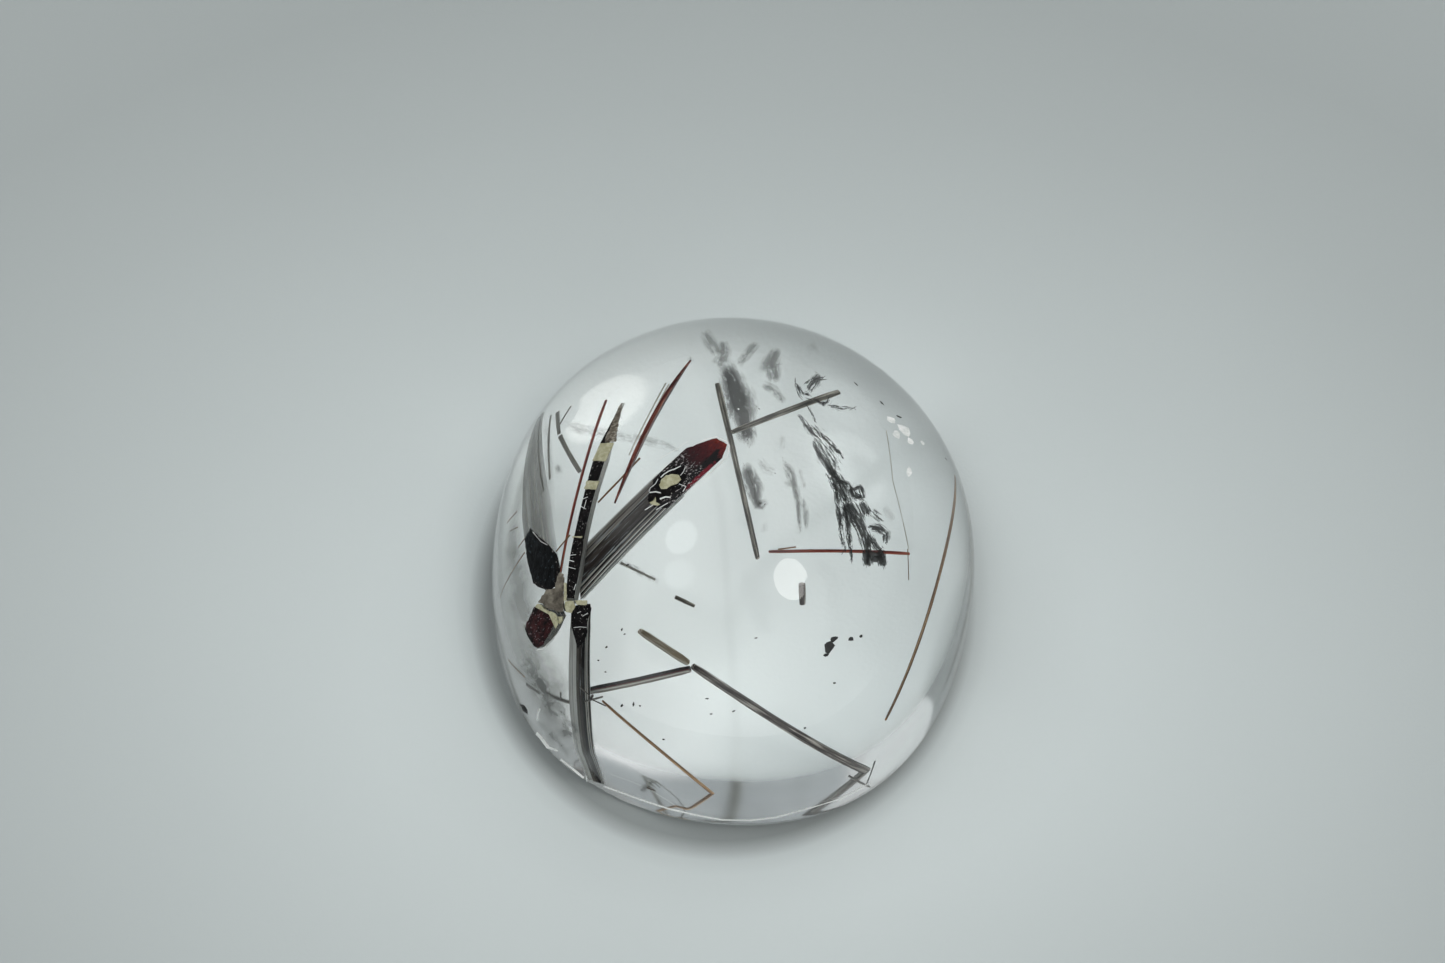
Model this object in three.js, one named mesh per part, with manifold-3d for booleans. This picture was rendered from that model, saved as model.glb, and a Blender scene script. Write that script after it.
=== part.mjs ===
// An oval dome of clear quartz, polished all over, with dark blades and fine needles grown through it.
// Millimetres, +Z up, base on z = 0, +Y away from the viewer. The clear stone is parted level across
// its middle, so that each crystal in it lies in a pocket of its own.
import * as THREE from "three";
import { mergeVertices } from "three/addons/utils/BufferGeometryUtils.js";
import Module from "manifold-3d";

const wasm = await Module();
wasm.setup();

// The stone
const HALF_WIDTH = 14.15; // along X
const HALF_LENGTH = 15.3; // along Y
const HEIGHT = 15.7;
const GIRDLE = 1.9; // height of the widest level
const BASE_SCALE = 0.965; // the base rim against the widest level
const FULLNESS = 2.14; // 2 is a plain ellipse in profile, more is fuller at the shoulder
const LOBES = { cos4: -0.012, sin4: 0.0056, cos5: 0.0035, sin5: 0.004 }; // hand-cut unevenness of the oval
const SIDES = 96;
const RINGS = 18;
const PARTING = 7.5; // level of the parting
const GAP = 0.3; // room between neighbouring solids

// Flats left on the lower edge: direction in plan, lean inwards from upright (less than 0 is under
// the girdle), and depth cut into the outline
const EDGE_FLATS = [
  { towards: 246, lean: 3, depth: 0.36 },
  { towards: 229, lean: -35, depth: 0.3 },
  { towards: 217, lean: -40, depth: 0.25 },
];

// Blades: the middle line of the upper face runs from start to end. The outline is [way along it,
// half width there], and the blade is carried down from it by its depth.
const BLADES = {
  banded_blade: {
    start: [-6.7, 5.6, 14.6],
    end: [-9.5, -5.5, 12.9],
    down: [0.4, 0.04, -0.91],
    outline: [[0, 0.08], [2.3, 0.28], [3.0, 0.42], [11.6, 0.33]],
    depth: 2.6,
    chamfer: 0.05,
  },
  lower_blade: {
    start: [-8.65, -6.05, 13.9],
    end: [-7.55, -13.1, 1.8],
    down: [0.21, 0.45, -0.87],
    outline: [[0, 0.55], [4, 0.6], [8, 0.66], [14.1, 0.5]],
    depth: 1.0,
    chamfer: 0.22,
  },
  left_blade: {
    start: [-10.6, 7.6, 6.9],
    end: [-10.4, -4.7, 11.5],
    down: [0.36, 0.25, -0.9],
    outline: [[0, 0.3], [3, 0.65], [6.5, 1.0], [11, 1.1], [13.1, 0.9]],
    depth: 1.4,
    chamfer: 0.25,
  },
  corner_blade: {
    start: [-9.75, -5.45, 11.9],
    end: [-12.1, -7.0, 8.1],
    down: [0.6, 0.35, -0.7],
    outline: [[0, 0.6], [0.9, 0.85], [3.6, 0.75], [4.7, 0.5]],
    depth: 1.9,
    chamfer: 0.12,
  },
  broad_blade: {
    start: [-0.2, 2.15, 19.75],
    end: [-8.25, -4.2, 11.3],
    down: [0.12, 0.3, -0.95],
    outline: [[0, 0.7], [1.6, 0.92], [13.3, 0.93]],
    depth: 3.2,
    chamfer: 0.28,
  },
  red_needle: {
    start: [-2.55, 8.5, 14.35],
    end: [-6.7, -0.6, 15.2],
    down: [0.19, -0.17, -0.97],
    outline: [[0, 0.05], [2.5, 0.16], [7.5, 0.16], [10.0, 0.05]],
    depth: 1.15,
    chamfer: 0.03,
  },
};

// Needles and rods: six-sided, from one end to the other
const NEEDLES = {
  thin_red_needle: { start: [-6.4, 6.5, 9.6], end: [-9.75, -4.6, 11.75], width: 0.18 },
  upper_rod: { start: [-0.7, 7.2, 7.0], end: [1.3, -3.9, 13.6], width: 0.31 },
  side_rod: { start: [0.0, 3.7, 12.0], end: [4.5, 7.2, 5.0], width: 0.3 },
  red_line_needle: { start: [1.9, -3.2, 12.6], end: [8.3, -1.0, 6.8], width: 0.18 },
  right_needle: { start: [10.1, 4.7, 3.0], end: [8.52, -11.0, 7.45], width: 0.2 },
  long_rod_upper: { start: [-5.0, -7.55, 12.2], end: [-2.3, -7.85, 9.16], width: 0.4 },
  long_rod: { start: [-1.98, -7.89, 8.8], end: [6.1, -8.78, -0.3], width: 0.4 },
  cross_rod: { start: [-6.95, -8.2, 6.5], end: [-2.2, -8.45, 9.6], width: 0.36 },
  front_needle: { start: [-6.9, -9.75, 7.95], end: [-0.6, -9.65, -0.25], width: 0.18 },
};

const CLEAR_QUARTZ = { color: 0xdfe6e4, roughness: 0.04, metalness: 0, transparent: true, opacity: 0.35 };
const DARK_BLADE = { color: 0x35312f, roughness: 0.35, metalness: 0.35 };
const BLACK_BLADE = { color: 0x1b1717, roughness: 0.45, metalness: 0.2 };
const RED_CRYSTAL = { color: 0x5d2419, roughness: 0.35, metalness: 0.1 };
const GREY_CRYSTAL = { color: 0x5a5854, roughness: 0.4, metalness: 0.3 };
const MATERIALS = {
  quartz_upper: CLEAR_QUARTZ,
  quartz_lower: CLEAR_QUARTZ,
  banded_blade: BLACK_BLADE,
  lower_blade: DARK_BLADE,
  left_blade: DARK_BLADE,
  corner_blade: BLACK_BLADE,
  broad_blade: DARK_BLADE,
  red_needle: RED_CRYSTAL,
  thin_red_needle: RED_CRYSTAL,
  red_line_needle: RED_CRYSTAL,
  right_needle: RED_CRYSTAL,
  front_needle: RED_CRYSTAL,
  upper_rod: GREY_CRYSTAL,
  side_rod: GREY_CRYSTAL,
  long_rod_upper: GREY_CRYSTAL,
  long_rod: GREY_CRYSTAL,
  cross_rod: BLACK_BLADE,
};

function solidOf(geometry) {
  geometry.deleteAttribute("normal");
  geometry.deleteAttribute("uv");
  const merged = mergeVertices(geometry, 1e-4);
  return new wasm.Manifold(
    new wasm.Mesh({
      numProp: 3,
      vertProperties: merged.attributes.position.array,
      triVerts: new Uint32Array(merged.index.array),
    }),
  );
}

function meshOf(name, solid) {
  const { vertProperties, triVerts } = solid.getMesh();
  const geometry = new THREE.BufferGeometry();
  geometry.setAttribute("position", new THREE.BufferAttribute(new Float32Array(vertProperties), 3));
  geometry.setIndex(new THREE.BufferAttribute(new Uint32Array(triVerts), 1));
  geometry.computeVertexNormals();
  const mesh = new THREE.Mesh(geometry, new THREE.MeshStandardMaterial(MATERIALS[name]));
  mesh.name = name;
  return mesh;
}

// Radius of the oval at the widest level
function outlineRadius(angle) {
  const oval = 1 / Math.hypot(Math.cos(angle) / HALF_WIDTH, Math.sin(angle) / HALF_LENGTH);
  const uneven =
    LOBES.cos4 * Math.cos(4 * angle) +
    LOBES.sin4 * Math.sin(4 * angle) +
    LOBES.cos5 * Math.cos(5 * angle) +
    LOBES.sin5 * Math.sin(5 * angle);
  return oval * (1 + uneven);
}

// Width of a level against the widest one
function levelScale(z) {
  const rise = (z - GIRDLE) / (HEIGHT - GIRDLE);
  return (1 - rise ** 2) ** (1 / FULLNESS);
}

function domeGeometry() {
  const profile = [new THREE.Vector2(0, 0), new THREE.Vector2(BASE_SCALE, 0)];
  for (let i = 0; i < RINGS; i += 1) {
    const z = GIRDLE + (HEIGHT - GIRDLE) * Math.sin((i / RINGS) * (Math.PI / 2));
    profile.push(new THREE.Vector2(levelScale(z), z));
  }
  profile.push(new THREE.Vector2(0, HEIGHT));
  const geometry = new THREE.LatheGeometry(profile, SIDES).rotateX(Math.PI / 2);
  const position = geometry.attributes.position;
  for (let i = 0; i < position.count; i += 1) {
    const x = position.getX(i);
    const y = position.getY(i);
    const radius = outlineRadius(Math.atan2(y, x));
    position.setXY(i, x * radius, y * radius);
  }
  return geometry;
}

// A block whose inner face is the flat, leaning in as it rises
function flatCutter({ towards, lean, depth }) {
  const angle = THREE.MathUtils.degToRad(towards);
  const block = new THREE.BoxGeometry(10, 20, 20).translate(5, 0, 0);
  block.rotateY(-THREE.MathUtils.degToRad(lean));
  block.translate(outlineRadius(angle) - depth, 0, GIRDLE / 2);
  return block.rotateZ(angle);
}

function turned(geometry, along, across, up, origin) {
  const frame = new THREE.Matrix4().makeBasis(along, across, up).setPosition(origin);
  return geometry.applyMatrix4(frame);
}

function bladeSolid({ start, end, down, outline, depth, chamfer }, grow = 0) {
  const origin = new THREE.Vector3(...start);
  const along = new THREE.Vector3(...end).sub(origin).normalize();
  const up = new THREE.Vector3(...down).negate();
  up.addScaledVector(along, -up.dot(along)).normalize();
  const across = new THREE.Vector3().crossVectors(up, along);
  const right = outline.map(([way, half]) => new THREE.Vector2(way, half));
  const left = outline.map(([way, half]) => new THREE.Vector2(way, -half)).reverse();
  const geometry = new THREE.ExtrudeGeometry(new THREE.Shape([...left, ...right]), {
    depth: depth + 2 * (grow - chamfer),
    bevelThickness: chamfer,
    bevelSize: chamfer,
    bevelOffset: grow - chamfer,
    bevelSegments: 1,
  });
  geometry.translate(0, 0, chamfer - grow - depth);
  return solidOf(turned(geometry, along, across, up, origin));
}

function needleSolid({ start, end, width }, grow = 0) {
  const from = new THREE.Vector3(...start);
  const to = new THREE.Vector3(...end);
  const radius = (width / 2 + grow) / Math.cos(Math.PI / 6);
  const geometry = new THREE.CylinderGeometry(radius, radius, from.distanceTo(to) + 2 * grow, 6);
  const turn = new THREE.Quaternion().setFromUnitVectors(
    new THREE.Vector3(0, 1, 0),
    to.clone().sub(from).normalize(),
  );
  const middle = from.add(to).multiplyScalar(0.5);
  return solidOf(geometry.applyQuaternion(turn).translate(middle.x, middle.y, middle.z));
}

function largestOf(solid) {
  return solid.decompose().sort((a, b) => b.volume() - a.volume())[0];
}

// The dome with the flats on its edge
let dome = solidOf(domeGeometry());
for (const flat of EDGE_FLATS) dome = dome.subtract(solidOf(flatCutter(flat)));

const group = new THREE.Group();
const pockets = [];

// Each crystal stops at the polished surface, and leaves room for those placed before it
function addCrystal(name, shape, pocket) {
  let solid = shape.intersect(dome);
  for (const taken of pockets) solid = solid.subtract(taken);
  group.add(meshOf(name, largestOf(solid)));
  pockets.push(pocket);
}

for (const [name, blade] of Object.entries(BLADES)) {
  addCrystal(name, bladeSolid(blade), bladeSolid(blade, GAP));
}
for (const [name, needle] of Object.entries(NEEDLES)) {
  addCrystal(name, needleSolid(needle), needleSolid(needle, GAP));
}

// The clear stone in two, each half without the pockets and without half the gap
function addHalf(name, side) {
  const room = 2 * HEIGHT;
  const level = PARTING + (side * GAP) / 2;
  const away = solidOf(new THREE.BoxGeometry(4 * room, 4 * room, room).translate(0, 0, level - (side * room) / 2));
  let half = dome.subtract(away);
  for (const pocket of pockets) half = half.subtract(pocket);
  group.add(meshOf(name, largestOf(half)));
}

addHalf("quartz_upper", 1);
addHalf("quartz_lower", -1);

export default group;
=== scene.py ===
"""An oval dome of clear quartz, polished all over, with dark blades, rods and needles grown through it.

Sizes and places are in millimetres until a mesh is made. A place inside the stone is either the real one, as
for the blades, or the pixel of the photograph where it is seen and its depth along the line of sight, which
under() turns into the real place by following that line into the quartz. A material's colours are as the eye
reads them, from 0 to 255, and those of the light and the quartz are in the shader's own numbers.
"""
import math
import random

import bpy
from mathutils import Matrix, Vector


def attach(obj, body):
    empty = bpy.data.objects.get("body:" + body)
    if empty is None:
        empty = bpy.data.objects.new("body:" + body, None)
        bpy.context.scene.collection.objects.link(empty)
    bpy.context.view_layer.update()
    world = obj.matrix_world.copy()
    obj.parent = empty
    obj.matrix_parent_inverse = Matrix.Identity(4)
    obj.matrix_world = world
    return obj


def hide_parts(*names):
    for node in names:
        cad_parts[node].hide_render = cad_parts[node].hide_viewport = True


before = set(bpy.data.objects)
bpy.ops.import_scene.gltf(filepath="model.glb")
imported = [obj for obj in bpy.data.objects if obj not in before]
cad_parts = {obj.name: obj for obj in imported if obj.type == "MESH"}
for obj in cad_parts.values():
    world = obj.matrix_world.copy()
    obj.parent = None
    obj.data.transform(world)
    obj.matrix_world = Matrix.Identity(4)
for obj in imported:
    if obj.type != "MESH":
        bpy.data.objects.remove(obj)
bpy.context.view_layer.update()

MM = 0.001

# The stone
HALF_WIDTH = 14.15
HALF_LENGTH = 15.3
HEIGHT = 15.7
GIRDLE = 1.9
BASE_SCALE = 0.965
FULLNESS = 2.14
LOBES = [(4, -0.012, 0.0056), (5, 0.0035, 0.004)]  # times round, and their cosine's and sine's share
EDGE_FLATS = [(246, 3, 0.36), (229, -35, 0.3), (217, -40, 0.25)]  # towards, lean and depth
EDGE_ROUND = 0.12  # rounding between the side and the base
MEAN_RADIUS = 15  # near enough, to turn the rounding into a share of the width
EDGE_STEPS = 4
GIRDLE_STEPS = 8
DOME_STEPS = 88
SIDES = 256
QUARTZ_IOR = 1.544
QUARTZ_TINT = (0.84, 0.95, 0.85, 1)
QUARTZ_DENSITY = 1.2

# The camera, and the frame of the photograph
PHOTO_WIDTH = 1445
PHOTO_HEIGHT = 963
LENS = 100
SENSOR = 36
FOCAL = LENS / SENSOR * PHOTO_WIDTH
CAMERA_PLACE = Vector((-0.573, -89.768, 216.977))
CAMERA_TILT = math.radians(24)
CAMERA_TURN = Matrix.Rotation(CAMERA_TILT, 3, "X")
PIXEL = 1 / 17.1  # a pixel's width on the stone


# Shape of the stone

def oval(angle):
    """Radius of the widest level in a direction."""
    plain = 1 / math.hypot(math.cos(angle) / HALF_WIDTH, math.sin(angle) / HALF_LENGTH)
    uneven = 0
    for times, cosine, sine in LOBES:
        uneven += cosine * math.cos(times * angle)
        uneven += sine * math.sin(times * angle)
    return plain * (1 + uneven)


def level_scale(z):
    """Width of a level against the widest one."""
    if z < GIRDLE:
        return 1 - (1 - BASE_SCALE) * (1 - z / GIRDLE) ** 2
    rise = (z - GIRDLE) / (HEIGHT - GIRDLE)
    return max(1 - rise ** 2, 0) ** (1 / FULLNESS)


def outwardness(point):
    """Less than 0 inside the dome, 0 on its surface, more outside."""
    rise = max(point.z - GIRDLE, 0) / (HEIGHT - GIRDLE)
    reach = math.hypot(point.x, point.y) / oval(math.atan2(point.y, point.x))
    return reach ** FULLNESS + rise ** 2 - 1


def outward(point):
    """The direction straight out of the surface near a point."""
    step = 0.001
    slope = [
        outwardness(point + step * axis) - outwardness(point - step * axis)
        for axis in (Vector((1, 0, 0)), Vector((0, 1, 0)), Vector((0, 0, 1)))
    ]
    return Vector(slope).normalized()


# Lines of sight

SIGHT_STEP = 0.25  # how far apart a line of sight is tried for the surface
HALVINGS = 24


def sight(pixel):
    x, y = pixel
    ray = Vector(((x - PHOTO_WIDTH / 2) / FOCAL, (PHOTO_HEIGHT / 2 - y) / FOCAL, -1))
    return (CAMERA_TURN @ ray).normalized()


def on_surface(pixel):
    """The point of the dome that a pixel shows."""
    ray = sight(pixel)
    near = (CAMERA_PLACE.z - HEIGHT - 1) / -ray.z
    far = near
    while outwardness(CAMERA_PLACE + far * ray) > 0:
        near = far
        far += SIGHT_STEP
        if CAMERA_PLACE.z + far * ray.z < 0:
            raise ValueError(f"pixel {pixel} is beside the stone")
    for _ in range(HALVINGS):
        middle = (near + far) / 2
        if outwardness(CAMERA_PLACE + middle * ray) > 0:
            near = middle
        else:
            far = middle
    return CAMERA_PLACE + far * ray


def bent(ray, surface):
    """Direction of a ray once it is in the quartz."""
    normal = outward(surface)
    facing = -ray.dot(normal)
    ratio = 1 / QUARTZ_IOR
    return ratio * ray + (ratio * facing - math.sqrt(1 - ratio ** 2 * (1 - facing ** 2))) * normal


def under(pixel, depth):
    """The point in the quartz that a pixel shows, that far along its line of sight."""
    surface = on_surface(pixel)
    return surface + depth * bent(sight(pixel), surface)


# Meshes

def new_object(name, points, faces, place=None, own=None):
    """A mesh object from points in millimetres, in its own frame if it has one."""
    mesh = bpy.data.meshes.new(name)
    mesh.from_pydata([Vector(point) * MM for point in points], [], faces)
    keep_own(mesh, own or points)
    made = bpy.data.objects.new(name, mesh)
    bpy.context.scene.collection.objects.link(made)
    if place:
        made.matrix_world = place
    return made


def keep_own(mesh, places):
    """Where each point is in the piece's own frame, in millimetres, for its material to read."""
    attribute = mesh.attributes.get("own") or mesh.attributes.new("own", "FLOAT_VECTOR", "POINT")
    attribute.data.foreach_set("vector", [part for place in places for part in place])


def add_part(name, points, faces, look, slot, own=None):
    """A finished piece that rides with the stone."""
    made = new_object(name, points, faces, None, own)
    made.data.materials.append(LOOKS[look])
    settle(made, slot)
    return made


def settle(made, slot, *nodes):
    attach(made, "root")
    if nodes:
        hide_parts(*nodes)


def smooth(made):
    made.data.polygons.foreach_set("use_smooth", [True] * len(made.data.polygons))


def stone_levels():
    """Height and width of each ring, from the base rim to just under the top."""
    levels = []
    for i in range(EDGE_STEPS + 1):
        turn = math.radians(90 * i / EDGE_STEPS)
        inward = (1 - math.sin(turn)) * EDGE_ROUND / MEAN_RADIUS
        levels.append((EDGE_ROUND * (1 - math.cos(turn)), BASE_SCALE - inward))
    for i in range(1, GIRDLE_STEPS + 1):
        z = EDGE_ROUND + (GIRDLE - EDGE_ROUND) * i / GIRDLE_STEPS
        levels.append((z, level_scale(z)))
    for i in range(1, DOME_STEPS):
        z = GIRDLE + (HEIGHT - GIRDLE) * math.sin(i / DOME_STEPS * math.pi / 2)
        levels.append((z, level_scale(z)))
    return levels


def flat_plane(towards, lean, depth):
    """A point of the flat and the direction that it faces."""
    angle = math.radians(towards)
    tilt = math.radians(lean)
    out = Vector((math.cos(angle), math.sin(angle), 0))
    point = out * (oval(angle) - depth)
    point.z = GIRDLE / 2
    return point, out * math.cos(tilt) + Vector((0, 0, math.sin(tilt)))


def stone_form(sides, grow=0.0):
    """Points and faces of the dome, the base first. It may stand out by grow all round."""
    points = []
    planes = [flat_plane(*flat) for flat in EDGE_FLATS]
    levels = stone_levels()
    for z, scale in levels:
        for i in range(sides):
            angle = 2 * math.pi * i / sides
            reach = oval(angle) * scale + grow
            point = Vector((reach * math.cos(angle), reach * math.sin(angle), z))
            for on_plane, facing in planes:
                over = (point - on_plane).dot(facing)
                if over > 0:
                    side = Vector((facing.x, facing.y, 0))
                    point -= side * (over / side.length_squared)
            points.append(point)
    points.append(Vector((0, 0, HEIGHT + grow)))

    faces = [tuple(reversed(range(sides)))]
    for low in range(0, (len(levels) - 1) * sides, sides):
        for i in range(sides):
            j = (i + 1) % sides
            faces.append((low + i, low + j, low + sides + j, low + sides + i))
    last = (len(levels) - 1) * sides
    faces += [(last + i, last + (i + 1) % sides, last + sides) for i in range(sides)]
    return points, faces


def own_frame(start, end, down):
    """The directions along, across and up of a crystal."""
    along = (Vector(end) - Vector(start)).normalized()
    up = -Vector(down)
    up = (up - up.dot(along) * along).normalized()
    return along, up.cross(along), up


ANY_DOWN = (0.13, 0.21, -0.97)  # not along any rod


def any_frame(start, end):
    """Directions for a rod that has no upper side of its own."""
    return own_frame(start, end, ANY_DOWN)


def placed(start, directions):
    place = Matrix(directions).transposed().to_4x4()
    place.translation = Vector(start) * MM
    return place


def loft(rings):
    """A closed form through rings of points that run the same way round, its ends closed to their middles."""
    count = len(rings[0])
    points = [Vector(point) for ring in rings for point in ring]
    faces = []
    for ring in range(len(rings) - 1):
        for i in range(count):
            j = (i + 1) % count
            low = ring * count
            faces.append((low + i, low + j, low + count + j, low + count + i))
    for ring, turn in ((0, 1), (len(rings) - 1, -1)):
        middle = sum((Vector(point) for point in rings[ring]), Vector()) / count
        points.append(middle)
        for i in range(count):
            pair = (ring * count + i, ring * count + (i + 1) % count)
            faces.append((*pair[::-turn], len(points) - 1))
    return points, faces


def between(table, way):
    """The value of a table of (way, value, ...) rows at a way, on straight lines between its rows."""
    if way <= table[0][0]:
        return table[0][1:]
    for (from_way, *before), (to_way, *after) in zip(table, table[1:]):
        if way <= to_way:
            share = (way - from_way) / (to_way - from_way)
            return tuple(a + (b - a) * share for a, b in zip(before, after))
    return table[-1][1:]


def cut_to_stone(made, cut_look=None):
    """Stops the piece at the polished surface, where it may get another look, and applies its place."""
    trim = made.modifiers.new("trim", "BOOLEAN")
    trim.operation = "INTERSECT"
    trim.solver = "EXACT"
    trim.object = cutter
    bpy.context.view_layer.update()
    graph = bpy.context.evaluated_depsgraph_get()
    trimmed = bpy.data.meshes.new_from_object(made.evaluated_get(graph))
    made.modifiers.clear()
    made.data = trimmed
    if cut_look:
        trimmed.materials.append(LOOKS[cut_look])
        out = [outwardness(made.matrix_world @ vertex.co / MM) > 0 for vertex in trimmed.vertices]
        for face in trimmed.polygons:
            if all(out[i] for i in face.vertices):
                face.material_index = len(trimmed.materials) - 1
    keep_own(trimmed, [vertex.co / MM for vertex in trimmed.vertices])
    trimmed.transform(made.matrix_world)
    made.matrix_world = Matrix()


# Materials

def shade(red, green, blue):
    """A colour in the shader's own numbers."""
    parts = [part / 255 for part in (red, green, blue)]
    return (*[p / 12.92 if p <= 0.04045 else ((p + 0.055) / 1.055) ** 2.4 for p in parts], 1)


def add_node(tree, kind, inputs=(), **settings):
    """A shader node with its settings, and the value or the socket that each input gets."""
    node = tree.nodes.new("ShaderNode" + kind)
    for key, value in settings.items():
        setattr(node, key, value)
    for key, value in dict(inputs).items():
        if isinstance(value, bpy.types.NodeSocket):
            tree.links.new(value, node.inputs[key])
        else:
            node.inputs[key].default_value = value
    return node


class Finish:
    """A node material, and short ways to add to it."""

    def __init__(self, name, **values):
        self.material = bpy.data.materials.new(name)
        self.material.use_nodes = True
        self.tree = self.material.node_tree
        self.shader = self.tree.nodes["Principled BSDF"]
        for key, value in values.items():
            self.shader.inputs[key.replace("_", " ")].default_value = value

    def add(self, kind, inputs=(), **settings):
        return add_node(self.tree, kind, inputs, **settings)

    def join(self, source, key):
        self.tree.links.new(source, self.shader.inputs[key])

    def lie(self, stretch=(1, 1, 1)):
        """Places on the piece in its own frame, in millimetres times the stretch."""
        own = self.add("Attribute", attribute_name="own").outputs["Vector"]
        return self.add("Mapping", {"Vector": own, "Scale": stretch}).outputs["Vector"]

    def way(self, axis):
        """How far along one of its own axes a place is."""
        return self.add("SeparateXYZ", {0: self.lie()}).outputs[axis]

    def noise(self, place, detail, rough, scale=1.0, distort=0.0):
        """Noise over places, or over the piece's own ones times a stretch."""
        place = self.lie(place) if isinstance(place, tuple) else place
        node = self.add("TexNoise", {
            "Vector": place, "Scale": scale, "Detail": detail, "Roughness": rough, "Distortion": distort,
        })
        return node.outputs["Fac"]

    def ramp(self, source, stops, constant=False):
        """Colours or plain amounts along a source."""
        node = self.add("ValToRGB", {"Fac": source})
        node.color_ramp.interpolation = "CONSTANT" if constant else "LINEAR"
        elements = node.color_ramp.elements
        while len(elements) < len(stops):
            elements.new(1)
        for element, (position, value) in zip(elements, stops):
            element.position = position
            element.color = shade(*value) if isinstance(value, tuple) else (value, value, value, 1)
        return node.outputs["Color"]

    def maths(self, first, second, operation="ADD", clamp=False):
        node = self.add("Math", {0: first, 1: second}, operation=operation, use_clamp=clamp)
        return node.outputs["Value"]

    def swing(self, noise, by):
        """Noise as a swing to both sides of 0."""
        return self.maths(self.maths(noise, 0.5, "SUBTRACT"), by, "MULTIPLY")

    def share(self, value, low, high):
        """How far a value is from low, 0, to high, 1."""
        return self.maths(self.maths(value, low, "SUBTRACT"), high - low, "DIVIDE")

    def mix(self, share, first, second, blend="MIX"):
        second = shade(*second) if isinstance(second, tuple) else second
        node = self.add("Mix", {"Factor": share, 6: first, 7: second}, data_type="RGBA", blend_type=blend)
        return node.outputs[2]

    def relief(self, height, depth):
        node = self.add("Bump", {"Height": height, "Distance": depth * MM})
        self.join(node.outputs["Normal"], "Normal")


def quartz_finish(name, smoothest, roughest):
    finish = Finish(name, Transmission_Weight=1.0, IOR=QUARTZ_IOR, Base_Color=(1, 1, 1, 1))
    wipe = finish.noise((0.5, 0.5, 0.5), 5.0, 0.5)
    finish.join(finish.ramp(wipe, [(0.45, smoothest), (0.8, roughest)]), "Roughness")
    absorb = finish.add("VolumeAbsorption", {"Color": QUARTZ_TINT, "Density": QUARTZ_DENSITY})
    finish.tree.links.new(absorb.outputs["Volume"], finish.tree.nodes["Material Output"].inputs["Volume"])
    return finish.material


def striated_finish(name, dark, middle, light, rough=0.3, across=7.0, along=0.18, metallic=0.0):
    """Long fine growth lines along a crystal, so many in a millimetre across it and along it."""
    finish = Finish(name, Specular_IOR_Level=0.2, Metallic=metallic)
    lines = finish.noise((along, across, across), 4.0, 0.6)
    finish.join(finish.ramp(lines, [(0.36, dark), (0.5, middle), (0.66, light)]), "Base Color")
    finish.join(finish.ramp(lines, [(0.3, rough + 0.2), (0.7, rough)]), "Roughness")
    finish.relief(lines, 0.03)
    return finish.material


def banded_finish(name, low, high, bands, streak=0.08, glint=0.8, axis="Y", rare=0.62):
    """Bands of colour from places across a crystal or up it, streaked along it, with painted glints: pale
    streaks standing for light caught along it.
    """
    finish = Finish(name, Roughness=0.3, Specular_IOR_Level=0.2)
    lines = finish.noise((0.16, 8, 8), 4.0, 0.65)
    place = finish.maths(finish.way(axis), finish.swing(lines, streak))
    stops = [((band - low) / (high - low), colour) for band, colour in bands]
    body = finish.ramp(finish.share(place, low, high), stops, True)
    light = finish.ramp(lines, [(0.34, 0.6), (0.46, 0.95), (0.6, 1.0)])
    # painted glints: rare pale streaks mixed in, as strong as glint
    painted_glints = finish.ramp(finish.noise((0.5, 12, 12), 3.0, 0.6), [(rare, 0.0), (rare + 0.06, glint)])
    lit = finish.mix(1.0, body, light, "MULTIPLY")
    finish.join(finish.mix(painted_glints, lit, (170, 178, 182)), "Base Color")
    finish.relief(lines, 0.03)
    return finish.material


def faded_finish(name, dark, middle, light, opacity, low=0.0, high=0.0):
    """A pale streaked crystal, as opaque all over, or by stops between two places across it."""
    finish = Finish(name, Roughness=0.5, Specular_IOR_Level=0.0)
    lines = finish.noise((0.12, 5, 5), 4.0, 0.6)
    finish.join(finish.ramp(lines, [(0.36, dark), (0.5, middle), (0.64, light)]), "Base Color")
    if isinstance(opacity, list):
        finish.join(finish.ramp(finish.share(finish.way("Y"), low, high), opacity), "Alpha")
    else:
        finish.shader.inputs["Alpha"].default_value = opacity
    return finish.material


def cut_finish(name, dark, middle, glint, rough=0.35, stretch=(1, 1, 1), rare=0.68):
    """A cut through a dark crystal: nearly black, pitted, with bright specks, which on the dark looks are
    painted glints and on the cream are its paler grain.
    """
    finish = Finish(name, Specular_IOR_Level=0.1)
    place = finish.lie(stretch)
    grain = finish.noise(place, 6.0, 0.7, 3.2)
    # the specks: painted glints on the dark looks, paler grain on the cream
    specks = finish.ramp(finish.noise(place, 3.0, 0.6, 9.0), [(rare, 0.0), (rare + 0.04, 1.0)])
    finish.join(finish.mix(specks, finish.ramp(grain, [(0.4, dark), (0.62, middle)]), glint), "Base Color")
    finish.join(finish.ramp(grain, [(0.35, rough + 0.25), (0.65, rough)]), "Roughness")
    finish.relief(grain, 0.08)
    return finish.material


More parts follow.
